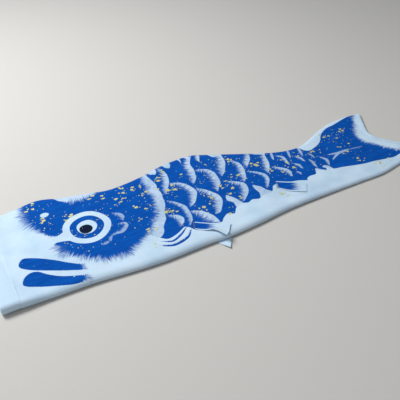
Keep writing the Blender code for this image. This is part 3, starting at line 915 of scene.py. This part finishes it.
def make_fins(material):
    for name, (root, edges, kind, near, flat, area) in FINS.items():
        plan = coons(root, edges, FIN_COLUMNS, FIN_ROWS)
        x, y = plan[..., 0], plan[..., 1]
        back = np.linspace(0, 1, FIN_COLUMNS)[:, None]
        across = np.linspace(0, 1, FIN_ROWS)[None, :]
        if near:
            settled = near_height(x, np.maximum(y, belly_y(x) + FIN_FOLD_MARGIN)) + FIN_REST
            lift = LIFT[kind]
            curl = lift * eased(1 - across, 0.45, 1.0) * eased(back, 0.1, 0.75)
            folds = 0.35 * lift * np.sin(across * 9.0 + back * 2.0) * back**1.5
            corner = 0.6 * lift * (back * across) ** 4
            z = settled + curl + 0.5 * np.abs(folds) + folds * 0.5 + corner
        else:
            z = FIN_REST + FAR_TIP_RISE * eased(belly_y(x) - y, 2, 20)
        grid = np.stack([x, y, z], -1)
        ink = fin_ink(plan, back, across, kind)
        fin = add_cloth(name + "_cloth", grid, material, unpainted(x.size, ink), 0.5, 1)
        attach(fin, name)
        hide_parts(name)
        below = f"{name.split('_')[0]}_cloth_{'front' if kind == 'pectoral' else 'rear'}"


def tube(points, radius, sides=7):
    """A thread along the points, with pointed ends: its points and faces."""
    points = np.asarray(points, float)
    tangent = np.gradient(points, axis=0)
    tangent /= np.linalg.norm(tangent, axis=1, keepdims=True)
    side = np.cross(tangent, (0, 0, 1.0))
    side /= np.maximum(np.linalg.norm(side, axis=1, keepdims=True), 1e-9)
    up = np.cross(side, tangent)
    turn = np.linspace(0, 2 * math.pi, sides, endpoint=False)
    share = np.linspace(0, 1, len(points))
    size = radius * np.clip(np.sin(math.pi * np.clip(share, 0.06, 0.94)), 0, 1)[:, None, None] ** 0.35
    ring = side[:, None] * np.cos(turn)[None, :, None] + up[:, None] * np.sin(turn)[None, :, None]
    rings = points[:, None] + ring * size
    faces = []
    for i in range(len(points) - 1):
        for j in range(sides):
            k = (j + 1) % sides
            faces.append((i * sides + j, i * sides + k, (i + 1) * sides + k, (i + 1) * sides + j))
    faces.append(tuple(range(sides))[::-1])
    last = (len(points) - 1) * sides
    faces.append(tuple(last + j for j in range(sides)))
    return rings.reshape(-1, 3), faces


def gathered(parts):
    """Several shapes as one list of points and one of faces."""
    points, faces, count = [], [], 0
    for some_points, some_faces in parts:
        points.append(some_points)
        faces.extend(tuple(count + i for i in face) for face in some_faces)
        count += len(some_points)
    return np.vstack(points), faces


def stitch(start, end, rise, radius, steps=7):
    """One stitch: a thread that comes up out of the cloth, lies on it and goes down again."""
    share = np.linspace(0, 1, steps)[:, None]
    points = np.asarray(start) * (1 - share) + np.asarray(end) * share
    points[:, 2] += rise * np.sin(math.pi * share[:, 0]) ** 0.6
    return tube(points, radius)


def make_root_stitches(materials):
    """Hand-sewn stitches over each fin's root, dark ones and a white one below them."""
    rng = np.random.default_rng(7)
    for name, (root, _, _, near, _, _) in FINS.items():
        upper, lower = (np.array(p, float) for p in root)
        along = (lower - upper) / np.linalg.norm(lower - upper)
        ahead = np.array((along[1], -along[0]))
        ahead = ahead if ahead[0] < 0 else -ahead
        for tone, count in (("dark", 7), ("white", 4)):
            loops = []
            for i in range(count):
                share = (i + 0.5) / count + rng.uniform(-0.03, 0.03)
                middle = upper + (lower - upper) * share
                start = middle + ahead * rng.uniform(2.6, 3.6) + along * rng.uniform(-0.7, 0.2)
                end = middle + ahead * (0.5 if near else 1.5) + along * rng.uniform(0.2, 1.0)
                if tone == "white":
                    start, end = middle - along * 1.4 + ahead * 1.4, middle + along * 1.5 + ahead * 1.2
                level = [float(near_height(np.array(p[0]), np.array(p[1]))) + 0.5 for p in (start, end)]
                rise = 0.75
                if not near:
                    start = start + ahead
                    level, rise = [0.85, 0.85], -0.35
                loops.append(stitch((*start, level[0]), (*end, level[1]), rise, 0.36))
            points, faces = gathered(loops)
            piece = add_mesh(f"{name}_{tone}_stitches", points, faces, materials[f"{tone}_thread"])
            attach(piece, "body")
            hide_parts(f"{name}_stitches")


def make_seam_stitches(material):
    """Small running stitches in the groove where the two panels meet."""
    pitch, length = 3.4, 2.3
    for side, edge in (("back", BACK_LINE), ("belly", BELLY_LINE)):
        spans = {"front": (CLOTH_START_X + 3, JOIN_X), "rear": (JOIN_X, edge[-1, 0] - 3)}
        for half, (low, high) in spans.items():
            outward = 1 if side == "back" else -1
            loops = []
            for x in np.arange(low + 0.6, high - length, pitch):
                ends = []
                for at in (x, x + length):
                    y = float(np.interp(at, edge[:, 0], edge[:, 1])) + outward * 0.05
                    ends.append((at, y, float(fold_shape(np.array(at), side)[0])))
                share = np.linspace(0, 1, 5)[:, None]
                points = np.array(ends[0]) * (1 - share) + np.array(ends[1]) * share
                points[:, 1] += outward * 0.16 * np.sin(math.pi * share[:, 0])
                loops.append(tube(points, 0.26, 6))
            points, faces = gathered(loops)
            piece = add_mesh(f"{side}_seam_stitches_{half}", points, faces, material)
            bend_with(piece)
            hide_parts(*(f"{side}_seam_{section}" for section in SECTIONS[half]))


HEM_FLAT = 7.5
HEM_ROUNDS = 360
HEM_PUNCH_RADIUS = 3.7
HEM_SEAM = 24.6
HEM_STITCHES = 130
HEM_STITCH_SHARE = 0.68
HEM_STITCH_LEVEL = 7.08
HEM_PROFILE = [
    (28, 7.05), (25.5, 7.22), (24.6, 7.02), (23.6, 7.24), (14, 7.42), (5.5, 7.5), (2.4, 7.35), (0.7, 6.6),
    (0.15, 5.45), (0.7, 4.4), (2.4, 3.6), (5.5, 3.45), (14, 3.6), (20, 4.6), (24.6, 6.05), (26.6, 6.3),
    (26.6, 6.7), (24.6, 6.5), (20, 5.1), (14, 4.1), (5.5, 3.95), (3.4, 4.1), (1.1, 4.6), (0.65, 5.45),
(1.1, 6.35),
    (3.4, 6.75), (5.5, 6.95), (14, 6.92), (23.6, 6.74), (28, 6.62),
]


def ring_place(turn_share):
    """A point of the flattened mouth ring's middle line and its outward direction, by share of a round."""
    top, bottom = BACK_EDGE[0][1] - HEM_FLAT, BELLY_EDGE[0][1] + HEM_FLAT
    straight, bow = top - bottom, math.pi * HEM_FLAT
    total = 2 * (straight + bow)
    at = (turn_share % 1) * total
    if at < straight:
        return bottom + at, 0.0, 1.0
    at -= straight
    if at < bow:
        return top, math.sin(at / HEM_FLAT), math.cos(at / HEM_FLAT)
    at -= bow
    if at < straight:
        return top - at, 0.0, -1.0
    at -= straight
    return bottom, -math.sin(at / HEM_FLAT), -math.cos(at / HEM_FLAT)


def hem_y(x, y):
    """Where a point of the mouth ring's middle line comes to lie further back, as the outline widens."""
    low, high = BELLY_EDGE[0][1], BACK_EDGE[0][1]
    return float(belly_y(x) + (y - low) / (high - low) * (back_y(x) - belly_y(x)))


def make_mouth_hem(materials):
    """The casing turned in over the cord, pinched where the eyelets clamp it and along its sewn rear edge.
    It widens backwards with the cloth that it is turned from."""
    low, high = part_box("near_eyelet")
    eyelet_x, eyelet_y = (low.x + high.x) / 2 / MM, (low.y + high.y) / 2 / MM
    profile = np.array(HEM_PROFILE)
    grid = np.zeros((HEM_ROUNDS, len(profile), 3))
    for i in range(HEM_ROUNDS):
        y, out_y, out_z = ring_place(i / HEM_ROUNDS)
        ripple = 0.10 * math.sin(i * 0.61) + 0.07 * math.sin(i * 1.7 + 1)
        for j, (back, radius) in enumerate(profile):
            widened = hem_y(MOUTH_X + back, y)
            pinch = math.exp(-((math.hypot(MOUTH_X + back - eyelet_x, widened - eyelet_y) / 7.5) ** 4))
            radius = radius - (1.05 * pinch * abs(out_z) if radius > 5.6 else 0)
            radius += ripple * (1 - pinch) * math.exp(-(((back - 24) / 5) ** 2)) * (radius > 6.0)
            radius = min(radius, HEM_FLAT)
            grid[i, j] = (MOUTH_X + back, widened + out_y * radius, HEM_FLAT + out_z * radius)
    count = len(profile)
    faces = []
    for i in range(HEM_ROUNDS):
        for j in range(count):
            a, b = i * count, ((i + 1) % HEM_ROUNDS) * count
            k = (j + 1) % count
            faces.append((a + j, a + k, b + k, b + j))
    hem = add_mesh("mouth_hem_cloth", grid.reshape(-1, 3), faces, materials["seam_cotton"], 60)
    bpy.ops.mesh.primitive_cylinder_add(vertices=40, radius=HEM_PUNCH_RADIUS * MM, depth=40 * MM,
                                        location=(eyelet_x * MM, eyelet_y * MM, HEM_FLAT * MM))
    cutter = bpy.context.object
    punch = hem.modifiers.new("Punch", "BOOLEAN")
    punch.operation = "DIFFERENCE"
    punch.solver = "EXACT"
    punch.object = cutter
    graph = bpy.context.evaluated_depsgraph_get()
    punched = bpy.data.meshes.new_from_object(hem.evaluated_get(graph))
    hem.modifiers.clear()
    hem.data = punched
    bpy.data.objects.remove(cutter)
    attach(hem, "head")
    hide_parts("mouth_hem")
    loops = []
    for i in range(HEM_STITCHES):
        ends = []
        for at in (i / HEM_STITCHES, (i + HEM_STITCH_SHARE) / HEM_STITCHES):
            y, out_y, out_z = ring_place(at)
            x, radius = MOUTH_X + HEM_SEAM, HEM_STITCH_LEVEL
            ends.append((x, hem_y(x, y) + out_y * radius, HEM_FLAT + out_z * radius, out_y, out_z))
        share = np.linspace(0, 1, 6)
        points = np.array([np.array(ends[0][:3]) * (1 - t) + np.array(ends[1][:3]) * t for t in share])
        points[:, 1] += 0.2 * np.sin(math.pi * share) * ends[0][3]
        points[:, 2] += 0.2 * np.sin(math.pi * share) * ends[0][4]
        loops.append(tube(points, 0.24, 6))
    points, faces = gathered(loops)
    row = add_mesh("mouth_hem_stitches", points, faces, materials["white_thread"])
    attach(row, "head")


def make_tail_hems(materials):
    """Each panel's edge along the open tail, turned over and stitched down."""
    line = along_line(TAIL_EDGE, 150)
    tangent = np.gradient(line, axis=0)
    tangent /= np.linalg.norm(tangent, axis=1, keepdims=True)
    ahead = np.stack([tangent[:, 1], -tangent[:, 0]], 1)
    back = np.array([0.0, 0.25, 0.8, 2.0, 4.0, 5.4, 6.0, 6.5, 7.0])
    swell = np.array([0.12, 0.32, 0.42, 0.40, 0.38, 0.30, 0.18, 0.28, 0.10])
    trim = slice(4, -4)
    x = (line[:, :1] + ahead[:, :1] * back)[trim]
    y = (line[:, 1:] + ahead[:, 1:] * back)[trim]
    for side in ("near", "far"):
        if side == "near":
            z = near_height(x, y) + SEAM_PARTING + swell
        else:
            z = far_height(x, y) + CLOTH + 0.15 + swell
        hem = add_cloth(f"{side}_tail_hem_cloth", np.stack([x, y, z], -1), materials["seam_cotton"],
                        unpainted(x.size), 0.35, 1)
        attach(hem, "tail")
        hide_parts(f"{side}_tail_hem")
        loops = []
        for i in range(2, x.shape[0] - 3, 2):
            ends = [np.array((x[k, 6], y[k, 6], z[k, 6])) for k in (i, i + 1)]
            end = ends[0] + (ends[1] - ends[0]) * 1.35
            loops.append(stitch(ends[0], end, 0.14, 0.2, 5))
        points, faces = gathered(loops)
        row = add_mesh(f"{side}_tail_hem_stitches", points, faces, materials["white_thread"])
        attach(row, "tail")


FLAKE_SIZES = (3.0, 5.0)
SCRAP_SIZES = (1.1, 2.6)
SCRAP_SPREAD = 7
CRUMB_SIZES = (0.8, 1.7)
CRUMBS = 420
LEAF = 0.1


def flake(rng, x, y, size, near):
    """One torn flake of leaf lying on the cloth: a thin plate with a ragged edge."""
    corners = int(rng.integers(7, 12))
    turn = np.sort(rng.uniform(0, 2 * math.pi, corners)) + rng.uniform(0, 2 * math.pi)
    radius = size * rng.uniform(0.6, 1.0, corners)
    stretch = rng.uniform(0.5, 0.95)
    at_x, at_y = x + radius * np.cos(turn), y + stretch * radius * np.sin(turn)
    order = np.argsort(np.arctan2(at_y - at_y.mean(), at_x - at_x.mean()))
    at_x, at_y = at_x[order], at_y[order]
    if near:
        top = near_height(at_x, at_y) + SEAM_PARTING + 0.16
    else:
        top = far_height(at_x, at_y) - SEAM_PARTING - 0.04
    upper = np.stack([at_x, at_y, top], 1)
    lower = upper - (0, 0, LEAF)
    n = corners
    faces = [tuple(range(n)), tuple(range(2 * n - 1, n - 1, -1))]
    faces += [(i, i + n, (i + 1) % n + n, (i + 1) % n) for i in range(n)]
    return np.vstack([upper, lower]), faces


def make_gold_leaf(material):
    """Flakes where the leaf was scattered, and smaller crumbs between them."""
    rng = np.random.default_rng(21)
    spots = []
    for patch_x, patch_y, spread, count in GOLD_PATCHES:
        for _ in range(count):
            x, y = patch_x + rng.normal(0, spread), patch_y + rng.normal(0, spread)
            spots.append((x, y, rng.uniform(*FLAKE_SIZES)))
            for _ in range(int(rng.integers(1, 3))):
                scrap_x, scrap_y = x + rng.normal(0, SCRAP_SPREAD), y + rng.normal(0, SCRAP_SPREAD)
                spots.append((scrap_x, scrap_y, rng.uniform(*SCRAP_SIZES)))
    for _ in range(CRUMBS):
        spots.append((rng.uniform(-320, 300), rng.normal(25, 42), rng.uniform(*CRUMB_SIZES)))
    for side in ("near", "far"):
        for half in ("front", "rear"):
            flakes = []
            for x, y, size in spots:
                drift_x, drift_y = paint_drift(x)
                x_now, y_now = x + drift_x, y + PAINT_BASE_Y + drift_y
                if (x_now < JOIN_X) != (half == "front") or abs(x_now - JOIN_X) < 3:
                    continue
                if not belly_y(x_now) + 6 < y_now < back_y(x_now) - 5:
                    continue
                flakes.append(flake(rng, x_now, y_now, size, side == "near"))
            points, faces = gathered(flakes)
            piece = add_mesh(f"gold_leaf_{side}_{half}", points, faces, material)
            bend_with(piece)


# Camera, floor and light

CAMERA_PLACE = (-0.4267, -0.6505, 0.5858)
CAMERA_PITCH = 38.0
CAMERA_HEADING = 59.89
FLOOR_COLOUR = (0.60, 0.575, 0.54, 1)


def make_camera():
    data = bpy.data.cameras.new("camera")
    data.lens = 50.4
    data.sensor_width = 36
    camera = bpy.data.objects.new("camera", data)
    camera.location = CAMERA_PLACE
    camera.rotation_euler = (math.radians(90 - CAMERA_PITCH), 0, math.radians(CAMERA_HEADING - 90))
    bpy.context.scene.collection.objects.link(camera)
    bpy.context.scene.camera = camera


def make_floor():
    nodes = Nodes("pale_floor")
    nodes.finish(FLOOR_COLOUR, 0.9)
    mesh = bpy.data.meshes.new("floor")
    half = 12.0
    corners = [(-half, -half, 0), (half, -half, 0), (half, half, 0), (-half, half, 0)]
    mesh.from_pydata(corners, [], [(0, 1, 2, 3)])
    mesh.materials.append(nodes.material)
    floor = bpy.data.objects.new("floor", mesh)
    bpy.context.scene.collection.objects.link(floor)


def add_light(name, place, target, size, power, colour):
    data = bpy.data.lights.new(name, "AREA")
    data.shape = "SQUARE"
    data.size = size
    data.energy = power
    data.color = colour
    light = bpy.data.objects.new(name, data)
    light.location = place
    light.rotation_euler = (Vector(target) - Vector(place)).to_track_quat("-Z", "Y").to_euler()
    bpy.context.scene.collection.objects.link(light)


def make_light():
    add_light("window", (-0.75, 0.85, 1.35), (-0.05, 0, 0), 0.75, 31, (0.95, 0.98, 1.0))
    add_light("room", (-1.2, -1.1, 1.9), (0, 0, 0), 2.2, 6, (1.0, 0.99, 0.97))
    world = bpy.data.worlds.new("studio")
    world.use_nodes = True
    background = world.node_tree.nodes["Background"]
    background.inputs["Color"].default_value = (0.90, 0.94, 1.0, 1)
    background.inputs["Strength"].default_value = 0.26
    bpy.context.scene.world = world
    bpy.context.scene.view_settings.view_transform = "Standard"


def dress_cad_nodes(materials):
    """The eyelets and the cord keep their shapes and get finer materials."""
    names = {"eyelet_brass": ["near_eyelet", "near_eyelet_washer", "far_eyelet", "far_eyelet_washer"],
             "rim_cord": ["mouth_cord"]}
    for slot_name, nodes in names.items():
        for node in nodes:
            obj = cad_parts[node]
            for slot in obj.material_slots:
                slot.material = materials[slot_name]
            obj.data.shade_smooth()
            obj.data.set_sharp_from_angle(angle=math.radians(35))


def main():
    make_camera()
    make_floor()
    materials = make_materials()
    make_panels(materials["painted_cotton"])
    make_fins(materials["painted_cotton"])
    make_root_stitches(materials)
    make_seam_stitches(materials["white_thread"])
    make_mouth_hem(materials)
    make_tail_hems(materials)
    make_gold_leaf(materials["gold_leaf"])
    dress_cad_nodes(materials)
    make_light()


main()
